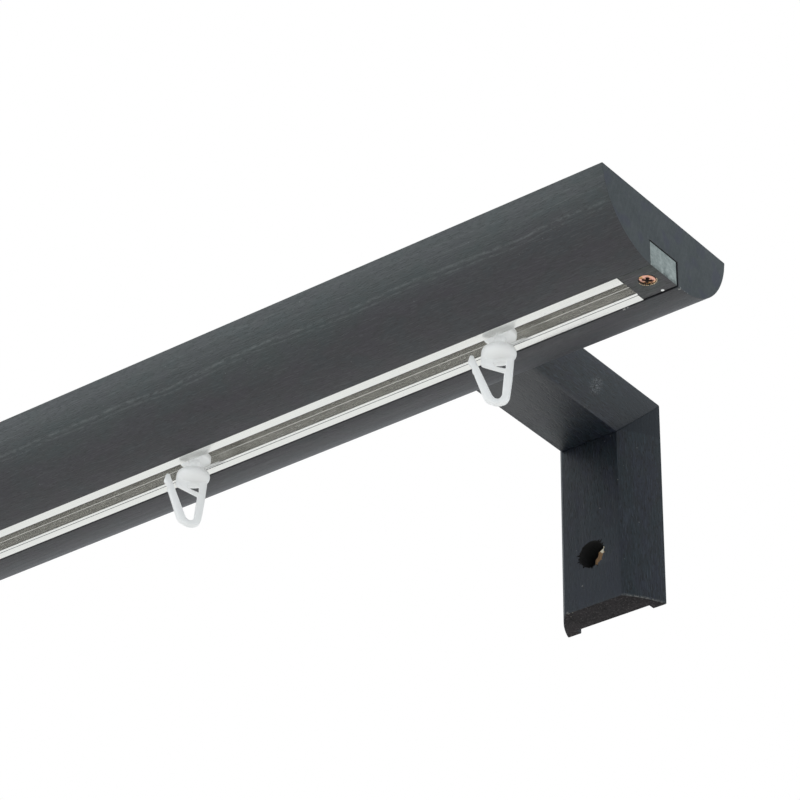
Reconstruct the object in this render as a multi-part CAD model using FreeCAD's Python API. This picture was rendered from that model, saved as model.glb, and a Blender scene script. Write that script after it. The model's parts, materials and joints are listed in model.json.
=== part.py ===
import FreeCAD, Part
import math
import os

# Wooden curtain rail with an inset aluminium track, two mitred wall brackets and swivelling gliders.
# Frame: +X runs along the rail, -Y points into the room, +Z is up. The origin is midway between
# the two wall screw holes, on the floor of the grooves in the bracket legs. Sizes in millimetres.

# Rail
RAIL_LENGTH = 850.0
RAIL_WIDTH = 65.0
RAIL_THICK = 23.0
RAIL_FLANK = 23.5          # how far each rounded flank reaches in under the rail
RAIL_FLANK_LEAN = 5.0      # degrees by which a flank leans in at the rail's top
RAIL_ARRIS = 0.8           # softening of the two top edges
RAIL_END_ARRIS = 0.3       # softening round the two cut ends

# Groove under the rail, as wide as the track with a gap on each side
GROOVE_DEPTH = 8.9

# Track
TRACK_WIDTH = 14.0
TRACK_SHIFT = 1.55         # from the rail's middle towards the room
TRACK_FRONT_FIT = 0.1      # the track is pushed against the groove's room side
TRACK_BACK_FIT = 0.6
TRACK_WALL = 1.0
TRACK_FLANGE = 1.1
TRACK_SLOT = 7.0
TRACK_LIP = 0.4            # width of the raised step along each side of the slot
TRACK_LIP_RISE = 0.25
TRACK_END_FIT = 0.1

# End blocks and the screws that hold them
BLOCK_LENGTH = 11.8
BLOCK_FRONT_FIT = 0.05     # the block is pushed against the groove's room side
BLOCK_BACK_FIT = 0.55
BLOCK_TOP_FIT = 0.5
BLOCK_CHAMFER = 0.25
BLOCK_SCREW_INSET = 5.3    # from the rail's end to the screw
BLOCK_SCREW_SHIFT = 0.5    # from the track's middle towards the room
BLOCK_SCREW_HEAD = 2.7     # head radius
BLOCK_SCREW_SHANK = 1.3
BLOCK_SCREW_PROUD = 0.35   # how far the head stands out of the block
BLOCK_SCREW_BITE = 6.0     # length of screw in the rail's wood

# Brackets
BRACKET_INSET = 91.9       # from the rail's end to the bracket's centre line
BRACKET_WIDTH = 38.6       # across the back and the top
BRACKET_FACE = 21.8        # across the front and the underside
BRACKET_THICK = 13.8
BRACKET_FLANK_LEAN = 19.0  # degrees by which a flank leans in at the wide face
BRACKET_ARRIS = 0.7
BRACKET_END_ARRIS = 0.3
MITRE_ROUND = 1.2          # softened outer corner where the two halves meet
ARM_OVERLAP = 43.0         # length of arm that lies on the rail
RAIL_TO_WALL = 73.9        # from the rail's back edge to the wall
SCREW_DROP = 42.3          # from the arm's underside down to the wall screw
LEG_TAIL = 18.5            # from the wall screw down to the leg's end
LEG_GROOVE_WIDTH = 28.2
LEG_GROOVE_DEPTH = 2.6
WALL_HOLE = 2.5            # radius of the wall screw's clearance hole
WALL_HEAD_HOLE = 4.75      # radius of the counterbore for its head
WALL_HEAD_DEPTH = 8.0

# Dowels across the mitre of each bracket
DOWEL_RADIUS = 2.5
DOWEL_SPACING = 15.0
DOWEL_SKIN = 1.2           # wood left over a dowel's corner
DOWEL_END_FIT = 0.3

# Screws that hold the rail up to the bracket arms
ARM_SCREW_HEAD = 3.6
ARM_SCREW_SHANK = 1.9
ARM_SCREW_SPACING = 22.0
ARM_SCREW_SKIN = 1.5       # wood left between a screw's tip and the track groove

SCREW_FIT = 0.05           # radial clearance round every screw and dowel
SCREW_RIM = 0.3            # upright edge of every screw head

# Cross recess of every screw, in shares of its head's radius
RECESS_REACH = 0.62
RECESS_FLOOR_REACH = 0.19
RECESS_DEPTH = 0.75
RECESS_WALL = 0.2

# Gliders
GLIDER_INSET = 59.3        # from the rail's right end to the first glider
GLIDER_LEFT_INSET = 66.5   # from its left end to the last one
GLIDER_COUNT = 7
HEAD_RADIUS = 4.8
HEAD_THICK = 2.3
HEAD_BEVEL = 0.4
NECK_RADIUS = 1.5
BALL_RADIUS = 1.95
RUN_GAP = 0.15             # between a glider's head and the flanges that carry it

# Hooks: a button that snaps on the glider's ball, and a pleat hook below it
BUTTON_DROP = 4.15         # from the rail's bottom to the middle of the button
BUTTON_RADIUS = 5.15
BUTTON_SHIFT = 0.35        # from the neck's axis towards the front arm
BUTTON_HALF_HEIGHT = 2.5
BUTTON_RIM = 1.4           # radius of its rounded rim
BALL_FIT = 0.1
HOOK_DEPTH = 22.2          # from the rail's bottom to the bottom of the bend
HOOK_PLATE = 2.3
HOOK_BEVEL = 0.35
BACK_ARM_REACH = 3.05      # from the neck's axis to the back arm, at the button's foot
BACK_ARM_LEAN = 6.0        # degrees from upright
FRONT_ARM_LEAN = 19.0
HOOK_BEND = 2.75           # radius of the bend's middle line
TIP_DROP = 4.95            # from the rail's bottom to the tip
TIP_WIDTH = 0.6
TIP_SHIFT = 0.15           # how far the tip lies to the outside of its arm's middle
TIP_TAPER = 2.4
TIP_BULGE = 0.13           # how far the taper's middle stands out
BARB_DROP = 2.1            # from the tip down to the barb's upper corner
BARB_EDGE = 0.4
BARB_REACH = 0.8           # how far the barb stands out of the arm
BARB_STEP_DROP = 2.9
BARB_STEP = 0.25
BARB_FOOT_DROP = 3.4
BRACE_THICK = 2.0
BRACE_LEAN = 23.0          # degrees from level
BRACE_DROP = 10.45         # from the rail's bottom to where the brace meets the back arm
BRACE_REACH = 5.3          # from the neck's axis to the brace's upright post
BRACE_POST = 1.5
HOOK_TURNS = (30.0, 52.0, 12.0, 41.0, 66.0, 24.0, 47.0)

# Places worked out from the sizes above
WALL_Y = LEG_GROOVE_DEPTH
RAIL_TOP = SCREW_DROP
RAIL_BOTTOM = RAIL_TOP - RAIL_THICK
ARM_TOP = RAIL_TOP + BRACKET_THICK
RAIL_BACK_Y = WALL_Y - RAIL_TO_WALL
RAIL_Y = RAIL_BACK_Y - RAIL_WIDTH / 2
TRACK_Y = RAIL_Y - TRACK_SHIFT
GROOVE_FRONT_Y = TRACK_Y - TRACK_WIDTH / 2 - TRACK_FRONT_FIT
GROOVE_WIDTH = TRACK_FRONT_FIT + TRACK_WIDTH + TRACK_BACK_FIT
RAIL_END_X = RAIL_LENGTH / 2
BRACKET_X = RAIL_END_X - BRACKET_INSET
TRACK_END_X = RAIL_END_X - BLOCK_LENGTH - TRACK_END_FIT
GLIDER_PITCH = (RAIL_LENGTH - GLIDER_INSET - GLIDER_LEFT_INSET) / (GLIDER_COUNT - 1)
HEAD_BOTTOM = RAIL_BOTTOM + TRACK_FLANGE + RUN_GAP
BUTTON_Z = RAIL_BOTTOM - BUTTON_DROP

X_AXIS = FreeCAD.Vector(1, 0, 0)
Y_AXIS = FreeCAD.Vector(0, 1, 0)
Z_AXIS = FreeCAD.Vector(0, 0, 1)
PAST = 1.0                 # how far a cutting tool runs past what it cuts


def point(x, y, z):
    return FreeCAD.Vector(x, y, z)


def save(name, shape):
    """Write a node's solids to its own file."""
    solids = shape.Solids
    whole = solids[0] if len(solids) == 1 else Part.makeCompound(solids)
    whole.exportStep("parts/" + name + ".step")


def prism(points, path):
    """Solid with the flat outline given by points, drawn out along path."""
    wire = Part.makePolygon(points + [points[0]])
    return Part.Face(wire).extrude(path)


def turned(profile, x, y):
    """Solid of revolution about the upright line at x, y. The profile lists (radius, height)."""
    points = [point(x + radius, y, z) for radius, z in profile]
    wire = Part.makePolygon(points + [points[0]])
    return Part.Face(wire).revolve(point(x, y, 0), Z_AXIS, 360)


def moulding(place, wide, narrow, thick, lean, path):
    """Board with a wide face, a narrow face and two bulging flanks, drawn out along path.

    place turns (distance across, depth below the wide face) into a point. Each flank is an arc
    that leans in by lean degrees where it leaves the wide face."""
    flank = (wide - narrow) / 2
    start = math.radians(lean)
    half_turn = math.atan2(flank, thick) - start
    radius = math.hypot(flank, thick) / (2 * math.sin(half_turn))
    bulge = wide / 2 - radius * (math.cos(start) - math.cos(start + half_turn))
    bulge_depth = radius * (math.sin(start + half_turn) - math.sin(start))
    right = [place(wide / 2, 0), place(bulge, bulge_depth), place(narrow / 2, thick)]
    left = [place(-narrow / 2, thick), place(-bulge, bulge_depth), place(-wide / 2, 0)]
    edges = [
        Part.Arc(*right).toShape(),
        Part.LineSegment(right[2], left[0]).toShape(),
        Part.Arc(*left).toShape(),
        Part.LineSegment(left[2], right[0]).toShape(),
    ]
    return Part.Face(Part.Wire(edges)).extrude(path)


def near(value, target):
    return abs(value - target) < 0.001


def edges_along(shape, axis, test):
    """Straight edges along axis whose two ends both pass the test."""
    found = []
    for edge in shape.Edges:
        ends = [vertex.Point for vertex in edge.Vertexes]
        straight = len(ends) == 2 and near(abs((ends[1] - ends[0]).dot(axis)), edge.Length)
        if straight and all(test(spot) for spot in ends):
            found.append(edge)
    return found


def edges_on(shape, test):
    """Edges whose ends and middle all pass the test."""
    found = []
    for edge in shape.Edges:
        spots = [vertex.Point for vertex in edge.Vertexes] + [edge.CenterOfMass]
        if all(test(spot) for spot in spots):
            found.append(edge)
    return found


def countersunk_screw(head_radius, shank_radius, length):
    """Screw with its head's top at the origin, pointing down."""
    head_depth = head_radius - shank_radius
    tip = 2 * shank_radius
    profile = [
        (0, 0),
        (head_radius, 0),
        (head_radius, -SCREW_RIM),
        (shank_radius, -SCREW_RIM - head_depth),
        (shank_radius, tip - length),
        (0, -length),
    ]
    screw = turned(profile, 0, 0)
    reach = RECESS_REACH * head_radius
    floor = RECESS_FLOOR_REACH * head_radius
    depth = RECESS_DEPTH * head_radius
    wall = RECESS_WALL * head_radius
    outline = [(-reach, PAST), (reach, PAST), (reach, 0), (floor, -depth), (-floor, -depth), (-reach, 0)]
    blade = prism([point(across, -wall / 2, z) for across, z in outline], point(0, wall, 0))
    crossed = blade.copy()
    crossed.rotate(point(0, 0, 0), Z_AXIS, 90)
    return screw.cut(blade.fuse(crossed))


def screw_hole(head_radius, shank_radius, length):
    """Space that a countersunk screw with its head's top at the origin takes up."""
    rim = SCREW_RIM + SCREW_FIT
    wide = head_radius + SCREW_FIT
    slim = shank_radius + SCREW_FIT
    profile = [
        (0, PAST),
        (wide, PAST),
        (wide, -rim),
        (slim, -rim - head_radius + shank_radius),
        (slim, -length - SCREW_FIT),
        (0, -length - SCREW_FIT),
    ]
    return turned(profile, 0, 0)


def block_screw_length():
    return BLOCK_SCREW_PROUD + GROOVE_DEPTH + BLOCK_SCREW_BITE


def at_block_screw(shape, side):
    """Move a screw that points down at the origin to an end block, pointing up into it."""
    moved = shape.copy()
    moved.rotate(point(0, 0, 0), X_AXIS, 180)
    screw_x = side * (RAIL_END_X - BLOCK_SCREW_INSET)
    moved.translate(point(screw_x, TRACK_Y - BLOCK_SCREW_SHIFT, RAIL_BOTTOM - BLOCK_SCREW_PROUD))
    return moved


def arm_screw_length():
    return BRACKET_THICK + RAIL_THICK - GROOVE_DEPTH - ARM_SCREW_SKIN


def arm_screw_places(side):
    """Head centres of the two screws that join a bracket arm to the rail."""
    middle = RAIL_BACK_Y - ARM_OVERLAP / 2
    places = []
    for step in (-0.5, 0.5):
        places.append(point(side * BRACKET_X, middle + step * ARM_SCREW_SPACING, ARM_TOP))
    return places


def rail():
    """Board with rounded flanks, grooved for the track, with pilot holes for its screws."""
    def place(across, depth):
        return point(-RAIL_END_X, RAIL_Y + across, RAIL_TOP - depth)

    path = point(RAIL_LENGTH, 0, 0)
    board = moulding(place, RAIL_WIDTH, RAIL_WIDTH - 2 * RAIL_FLANK, RAIL_THICK, RAIL_FLANK_LEAN, path)
    top_edges = edges_along(board, X_AXIS, lambda spot: near(spot.z, RAIL_TOP))
    board = board.makeFillet(RAIL_ARRIS, top_edges)
    end_edges = edges_on(board, lambda spot: near(abs(spot.x), RAIL_END_X))
    board = board.makeChamfer(RAIL_END_ARRIS, end_edges)
    groove = Part.makeBox(
        RAIL_LENGTH + 2 * PAST,
        GROOVE_WIDTH,
        GROOVE_DEPTH + PAST,
        point(-RAIL_END_X - PAST, GROOVE_FRONT_Y, RAIL_BOTTOM - PAST),
    )
    board = board.cut(groove)
    for side in (1, -1):
        block_hole = screw_hole(BLOCK_SCREW_HEAD, BLOCK_SCREW_SHANK, block_screw_length())
        board = board.cut(at_block_screw(block_hole, side))
        for spot in arm_screw_places(side):
            arm_hole = screw_hole(ARM_SCREW_HEAD, ARM_SCREW_SHANK, arm_screw_length())
            arm_hole.translate(spot)
            board = board.cut(arm_hole)
    return board


def track():
    """C-section that fills the groove between the end blocks, open downwards."""
    outer = TRACK_WIDTH / 2
    inner = outer - TRACK_WALL
    slot = TRACK_SLOT / 2
    half = [
        (slot, TRACK_LIP_RISE),
        (slot, TRACK_FLANGE),
        (inner, TRACK_FLANGE),
        (inner, GROOVE_DEPTH - TRACK_WALL),
    ]
    outside = [(outer, GROOVE_DEPTH), (outer, 0), (slot + TRACK_LIP, 0), (slot + TRACK_LIP, TRACK_LIP_RISE)]
    inside_left = [(-across, height) for across, height in reversed(half)]
    outside_left = [(-across, height) for across, height in reversed(outside)]
    outline = half + inside_left + outside_left + outside
    points = [point(-TRACK_END_X, TRACK_Y + across, RAIL_BOTTOM + height) for across, height in outline]
    return prism(points, point(2 * TRACK_END_X, 0, 0))


def end_block(side):
    """Wooden block that closes the groove beside the track's end."""
    low_x = min(side * RAIL_END_X, side * (RAIL_END_X - BLOCK_LENGTH))
    block = Part.makeBox(
        BLOCK_LENGTH,
        GROOVE_WIDTH - BLOCK_FRONT_FIT - BLOCK_BACK_FIT,
        GROOVE_DEPTH - BLOCK_TOP_FIT,
        point(low_x, GROOVE_FRONT_Y + BLOCK_FRONT_FIT, RAIL_BOTTOM),
    )
    block = block.makeChamfer(BLOCK_CHAMFER, block.Edges)
    hole = screw_hole(BLOCK_SCREW_HEAD, BLOCK_SCREW_SHANK, block_screw_length())
    return block.cut(at_block_screw(hole, side))


def end_block_screw(side):
    screw = countersunk_screw(BLOCK_SCREW_HEAD, BLOCK_SCREW_SHANK, block_screw_length())
    return at_block_screw(screw, side)


def mitre_tool(side, keep_arm):
    """Wedge on one side of the slanting plane where a bracket's arm and leg meet."""
    far = 2 * BRACKET_THICK
    inner = point(0, WALL_Y - far, ARM_TOP - far)
    outer = point(0, WALL_Y + far, ARM_TOP + far)
    corner = point(0, outer.y, inner.z) if keep_arm else point(0, inner.y, outer.z)
    start = point(side * BRACKET_X - BRACKET_WIDTH, 0, 0)
    points = [start + inner, start + outer, start + corner]
    return prism(points, point(2 * BRACKET_WIDTH, 0, 0))


def corner_tool(side):
    """What rounding takes off the outer corner, where a bracket's top meets its back."""
    start = point(side * BRACKET_X - BRACKET_WIDTH, WALL_Y - MITRE_ROUND, ARM_TOP - MITRE_ROUND)
    corner = Part.makeBox(2 * BRACKET_WIDTH, MITRE_ROUND + PAST, MITRE_ROUND + PAST, start)
    return corner.cut(Part.makeCylinder(MITRE_ROUND, 2 * BRACKET_WIDTH, start, X_AXIS))


def dowel_half_length():
    """Half of a mitre dowel, as long as the wood round it allows."""
    room = (BRACKET_THICK / 2 - DOWEL_SKIN) * math.sqrt(2)
    return room - DOWEL_RADIUS - SCREW_FIT - DOWEL_END_FIT


def dowels(side, radius, half_length):
    """The two pins square to a bracket's mitre, at its middle."""
    along = point(0, -1, 1).normalize()
    pins = []
    for step in (-0.5, 0.5):
        middle = point(
            side * BRACKET_X + step * DOWEL_SPACING,
            WALL_Y - BRACKET_THICK / 2,
            ARM_TOP - BRACKET_THICK / 2,
        )
        pins.append(Part.makeCylinder(radius, 2 * half_length, middle - along * half_length, along))
    return pins


def mitre_dowels(side):
    return Part.makeCompound(dowels(side, DOWEL_RADIUS, dowel_half_length()))


def dowel_holes(side):
    return dowels(side, DOWEL_RADIUS + SCREW_FIT, dowel_half_length() + DOWEL_END_FIT)


def bracket_arm(side):
    """Level part of a bracket: lies on the rail and is mitred to the leg."""
    front_y = RAIL_BACK_Y - ARM_OVERLAP

    def place(across, depth):
        return point(side * BRACKET_X + across, front_y, ARM_TOP - depth)

    path = point(0, WALL_Y - front_y, 0)
    arm = moulding(place, BRACKET_WIDTH, BRACKET_FACE, BRACKET_THICK, BRACKET_FLANK_LEAN, path)
    top_edges = edges_along(arm, Y_AXIS, lambda spot: near(spot.z, ARM_TOP))
    arm = arm.makeFillet(BRACKET_ARRIS, top_edges)
    front_edges = edges_on(arm, lambda spot: near(spot.y, front_y))
    arm = arm.makeChamfer(BRACKET_END_ARRIS, front_edges)
    arm = arm.cut(mitre_tool(side, True)).cut(corner_tool(side))
    for hole in dowel_holes(side):
        arm = arm.cut(hole)
    for spot in arm_screw_places(side):
        hole = screw_hole(ARM_SCREW_HEAD, ARM_SCREW_SHANK, arm_screw_length())
        hole.translate(spot)
        arm = arm.cut(hole)
    return arm


def bracket_leg(side):
    """Upright part of a bracket: stands against the wall on two ribs, with a counterbored hole."""
    def place(across, depth):
        return point(side * BRACKET_X + across, WALL_Y - depth, -LEG_TAIL)

    path = point(0, 0, LEG_TAIL + ARM_TOP)
    leg = moulding(place, BRACKET_WIDTH, BRACKET_FACE, BRACKET_THICK, BRACKET_FLANK_LEAN, path)
    back_edges = edges_along(leg, Z_AXIS, lambda spot: near(spot.y, WALL_Y))
    leg = leg.makeFillet(BRACKET_ARRIS, back_edges)
    foot_edges = edges_on(leg, lambda spot: near(spot.z, -LEG_TAIL))
    leg = leg.makeChamfer(BRACKET_END_ARRIS, foot_edges)
    leg = leg.cut(mitre_tool(side, False)).cut(corner_tool(side))
    groove = Part.makeBox(
        LEG_GROOVE_WIDTH,
        LEG_GROOVE_DEPTH + PAST,
        RAIL_TOP + LEG_TAIL + PAST,
        point(side * BRACKET_X - LEG_GROOVE_WIDTH / 2, 0, -LEG_TAIL - PAST),
    )
    leg = leg.cut(groove)
    hole_start = point(side * BRACKET_X, WALL_Y, 0)
    leg = leg.cut(Part.makeCylinder(WALL_HOLE, BRACKET_THICK, hole_start, Y_AXIS * -1))
    head_start = point(side * BRACKET_X, WALL_Y - BRACKET_THICK - PAST, 0)
    leg = leg.cut(Part.makeCylinder(WALL_HEAD_HOLE, WALL_HEAD_DEPTH + PAST, head_start, Y_AXIS))
    for hole in dowel_holes(side):
        leg = leg.cut(hole)
    return leg


def arm_screws(side):
    """Two screws driven down through a bracket arm into the rail."""
    screws = []
    for spot in arm_screw_places(side):
        screw = countersunk_screw(ARM_SCREW_HEAD, ARM_SCREW_SHANK, arm_screw_length())
        screw.translate(spot)
        screws.append(screw)
    return Part.makeCompound(screws)


def glider(x):
    """Round head that runs in the track, with a neck and a ball for the hook."""
    head = Part.makeCylinder(HEAD_RADIUS, HEAD_THICK, point(x, TRACK_Y, HEAD_BOTTOM))
    head = head.makeChamfer(HEAD_BEVEL, [edge for edge in head.Edges if len(edge.Vertexes) == 1])
    neck_length = HEAD_BOTTOM + HEAD_THICK / 2 - BUTTON_Z
    neck = Part.makeCylinder(NECK_RADIUS, neck_length, point(x, TRACK_Y, BUTTON_Z))
    ball = Part.makeSphere(BALL_RADIUS, point(x, TRACK_Y, BUTTON_Z))
    return head.fuse(neck).fuse(ball)


def hook_line():
    """Middle line of the hook's two arms and bend, as named points in its own flat plane.

    Each point is (distance from the neck's axis, height above the rail's bottom)."""
    back = math.radians(BACK_ARM_LEAN)
    front = math.radians(FRONT_ARM_LEAN)
    half = HOOK_PLATE / 2
    foot = -BUTTON_DROP - BUTTON_HALF_HEIGHT
    bend_z = -HOOK_DEPTH + half + HOOK_BEND
    back_z = bend_z - HOOK_BEND * math.sin(back)
    back_low = (BACK_ARM_REACH - (foot - back_z) * math.tan(back), back_z)
    bend = (back_low[0] - HOOK_BEND * math.cos(back), bend_z)
    front_low = (bend[0] - HOOK_BEND * math.cos(front), bend_z - HOOK_BEND * math.sin(front))
    rise = -TIP_DROP - front_low[1]
    tip = (front_low[0] - rise * math.tan(front), -TIP_DROP)
    back_top = (BACK_ARM_REACH + (-BUTTON_DROP - foot) * math.tan(back), -BUTTON_DROP)
    return back_top, back_low, bend, front_low, tip


def hook_arms(plane):
    """Flat hook with its bend and its barbed tip. plane turns flat points into real ones."""
    back_top, back_low, bend, front_low, tip = hook_line()
    half = HOOK_PLATE / 2
    back = math.radians(BACK_ARM_LEAN)
    front = math.radians(FRONT_ARM_LEAN)

    def beside_back(spot, offset):
        return plane(spot[0] + offset * math.cos(back), spot[1] - offset * math.sin(back))

    def beside_front(rise, offset):
        across = tip[0] - rise * math.sin(front) - offset * math.cos(front)
        height = tip[1] + rise * math.cos(front) - offset * math.sin(front)
        return plane(across, height)

    def on_bend(radius, angle):
        turn = math.radians(angle)
        return plane(bend[0] + radius * math.cos(turn), bend[1] + radius * math.sin(turn))

    low = -math.hypot(tip[0] - front_low[0], tip[1] - front_low[1])
    bottom_angle = (FRONT_ARM_LEAN - BACK_ARM_LEAN) / 2 - 90
    outer = HOOK_BEND + half
    inner = HOOK_BEND - half
    inner_tip = TIP_SHIFT - TIP_WIDTH / 2
    tip_outline = [
        beside_front(-BARB_FOOT_DROP, half),
        beside_front(-BARB_STEP_DROP, half + BARB_STEP),
        beside_front(-BARB_DROP - BARB_EDGE, half + BARB_REACH),
        beside_front(-BARB_DROP, half + BARB_REACH),
        beside_front(0, TIP_SHIFT + TIP_WIDTH / 2),
        beside_front(0, inner_tip),
        beside_front(-TIP_TAPER / 2, (inner_tip - half) / 2 - TIP_BULGE),
        beside_front(-TIP_TAPER, -half),
    ]
    edges = [
        Part.LineSegment(beside_back(back_top, half), beside_back(back_low, half)).toShape(),
        Part.Arc(
            beside_back(back_low, half),
            on_bend(outer, bottom_angle),
            beside_front(low, half),
        ).toShape(),
    ]
    corners = [beside_front(low, half)] + tip_outline + [beside_front(low, -half)]
    for start, end in zip(corners, corners[1:]):
        edges.append(Part.LineSegment(start, end).toShape())
    edges.append(
        Part.Arc(
            beside_front(low, -half),
            on_bend(inner, bottom_angle),
            beside_back(back_low, -half),
        ).toShape()
    )
    edges.append(Part.LineSegment(beside_back(back_low, -half), beside_back(back_top, -half)).toShape())
    edges.append(Part.LineSegment(beside_back(back_top, -half), beside_back(back_top, half)).toShape())
    return Part.Face(Part.Wire(edges))


def hook_brace(plane):
    """Slanting bar from the back arm to the far side of the button, with its short upright."""
    back = math.radians(BACK_ARM_LEAN)
    lean = math.radians(BRACE_LEAN)
    foot = -BUTTON_DROP - BUTTON_HALF_HEIGHT
    arm_x = BACK_ARM_REACH - (foot + BRACE_DROP) * math.tan(back)
    rise = (arm_x + BRACE_REACH) * math.tan(lean)
    half = BRACE_THICK / (2 * math.cos(lean))
    slope = BRACE_POST * math.tan(lean)
    corners = [
        plane(arm_x, -BRACE_DROP - half),
        plane(arm_x, -BRACE_DROP + half),
        plane(BRACE_POST - BRACE_REACH, -BRACE_DROP + half + rise - slope),
        plane(BRACE_POST - BRACE_REACH, -BUTTON_DROP),
        plane(-BRACE_REACH, -BUTTON_DROP),
        plane(-BRACE_REACH, -BRACE_DROP - half + rise),
    ]
    return Part.Face(Part.makePolygon(corners + [corners[0]]))


def button(x):
    """Flattened ball: two shallow caps that run smoothly into a rounded rim."""
    rim_x = BUTTON_RADIUS - BUTTON_RIM
    cap = rim_x ** 2 + BUTTON_HALF_HEIGHT ** 2 - BUTTON_RIM ** 2
    cap = cap / (2 * (BUTTON_HALF_HEIGHT - BUTTON_RIM))
    meeting = math.atan2(rim_x, cap - BUTTON_HALF_HEIGHT)

    middle = x - BUTTON_SHIFT

    def on_cap(angle, up):
        height = BUTTON_HALF_HEIGHT - cap + cap * math.cos(angle)
        return point(middle + cap * math.sin(angle), TRACK_Y, BUTTON_Z + up * height)

    edges = [
        Part.Arc(on_cap(0, 1), on_cap(meeting / 2, 1), on_cap(meeting, 1)).toShape(),
        Part.Arc(
            on_cap(meeting, 1), point(middle + BUTTON_RADIUS, TRACK_Y, BUTTON_Z), on_cap(meeting, -1)
        ).toShape(),
        Part.Arc(on_cap(meeting, -1), on_cap(meeting / 2, -1), on_cap(0, -1)).toShape(),
        Part.LineSegment(on_cap(0, -1), on_cap(0, 1)).toShape(),
    ]
    return Part.Face(Part.Wire(edges)).revolve(point(middle, TRACK_Y, BUTTON_Z), Z_AXIS, 360)


def socket(x):
    """Space in the button that the glider's ball and neck turn in."""
    middle = point(x, TRACK_Y, BUTTON_Z)
    ball = Part.makeSphere(BALL_RADIUS + BALL_FIT, middle)
    mouth = Part.makeCylinder(NECK_RADIUS + BALL_FIT, BUTTON_HALF_HEIGHT + PAST, middle)
    return ball.fuse(mouth)


def hook(x, turn):
    """Button and pleat hook in one piece, turned about the glider's neck."""
    def plane(across, height):
        return point(x + across, TRACK_Y - HOOK_PLATE / 2, RAIL_BOTTOM + height)

    through = point(0, HOOK_PLATE, 0)
    arms = hook_arms(plane).extrude(through)

    def on_flat_side(spot):
        return near(abs(spot.y - TRACK_Y), HOOK_PLATE / 2)

    outline = [edge for edge in edges_on(arms, on_flat_side) if edge.Length > HOOK_PLATE]
    arms = arms.makeChamfer(HOOK_BEVEL, outline)
    brace = hook_brace(plane).extrude(through)
    shape = arms.fuse(brace).fuse(button(x)).cut(socket(x))
    shape.rotate(point(x, TRACK_Y, 0), Z_AXIS, turn)
    return shape


os.makedirs("parts", exist_ok=True)
save("rail", rail())
save("track", track())
for word, side in (("right", 1), ("left", -1)):
    save(word + "_end_block", end_block(side))
    save(word + "_end_block_screw", end_block_screw(side))
    save(word + "_bracket_arm", bracket_arm(side))
    save(word + "_bracket_leg", bracket_leg(side))
    save(word + "_bracket_dowels", mitre_dowels(side))
    save(word + "_arm_screws", arm_screws(side))
for number in range(GLIDER_COUNT):
    glider_x = RAIL_END_X - GLIDER_INSET - number * GLIDER_PITCH
    hook_turn = HOOK_TURNS[number % len(HOOK_TURNS)]
    save("glider_" + str(number + 1), glider(glider_x))
    save("hook_" + str(number + 1), hook(glider_x, hook_turn))
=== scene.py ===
import json
import math
import random

import bmesh
import bpy
from mathutils import Matrix, Vector, noise


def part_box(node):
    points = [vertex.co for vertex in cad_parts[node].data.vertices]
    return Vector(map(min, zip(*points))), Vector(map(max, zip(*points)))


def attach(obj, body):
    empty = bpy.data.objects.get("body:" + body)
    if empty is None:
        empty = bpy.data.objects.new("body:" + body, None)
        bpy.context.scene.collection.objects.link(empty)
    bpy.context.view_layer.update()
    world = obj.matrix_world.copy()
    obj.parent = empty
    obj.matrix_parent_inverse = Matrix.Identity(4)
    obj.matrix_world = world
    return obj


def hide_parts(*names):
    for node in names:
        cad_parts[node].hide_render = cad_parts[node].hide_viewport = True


# Wooden curtain rail with an inset aluminium track, mitred wall brackets and gliders with pleat hooks.
# Metres, in the frame of the CAD model: +X along the rail, -Y into the room, +Z up.
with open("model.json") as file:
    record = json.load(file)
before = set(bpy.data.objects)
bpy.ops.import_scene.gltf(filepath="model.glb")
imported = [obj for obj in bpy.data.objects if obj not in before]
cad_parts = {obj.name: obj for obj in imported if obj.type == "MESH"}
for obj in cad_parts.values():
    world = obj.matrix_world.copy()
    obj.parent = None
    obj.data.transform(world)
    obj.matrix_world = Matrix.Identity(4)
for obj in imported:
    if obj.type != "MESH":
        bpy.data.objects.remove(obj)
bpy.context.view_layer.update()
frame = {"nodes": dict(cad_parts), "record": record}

MM = 0.001
joints = {joint["name"]: joint for joint in frame["record"]["behaviour"]["joints"]}
GLIDER_COUNT = sum(name.endswith("_slide") for name in joints)


def corners_of(node):
    low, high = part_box(node)
    return Vector(low), Vector(high)


rail_low, rail_high = corners_of("rail")
track_low, track_high = corners_of("track")
leg_low, leg_high = corners_of("right_bracket_leg")
arm_low, arm_high = corners_of("right_bracket_arm")
TRACK_Y = (track_low.y + track_high.y) / 2
RAIL_BOTTOM = rail_low.z
BRACKET_X = (leg_low.x + leg_high.x) / 2

# Rail
RAIL_HALF = 32.5 * MM
RAIL_FLANK = 23.5 * MM
RAIL_FLANK_LEAN = math.radians(5)
RAIL_ARRIS = 0.35 * MM
RAIL_END_ARRIS = 0.15 * MM
GROOVE_FRONT_FIT = 0.1 * MM
GROOVE_BACK_FIT = 0.6 * MM
GROOVE_EDGE = 0.2 * MM

# Track
TRACK_WALL = 1.0 * MM
TRACK_FLANGE = 1.1 * MM
SLOT_HALF = 3.5 * MM
LIP_WIDTH = 0.45 * MM
LIP_GROOVE = 0.25 * MM
LIP_GROOVE_DEPTH = 0.45 * MM
TRACK_LEDGE = 0.12 * MM
TRACK_LEDGE_HEIGHT = 5.6 * MM
TRACK_EDGE = 0.1 * MM

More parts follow.
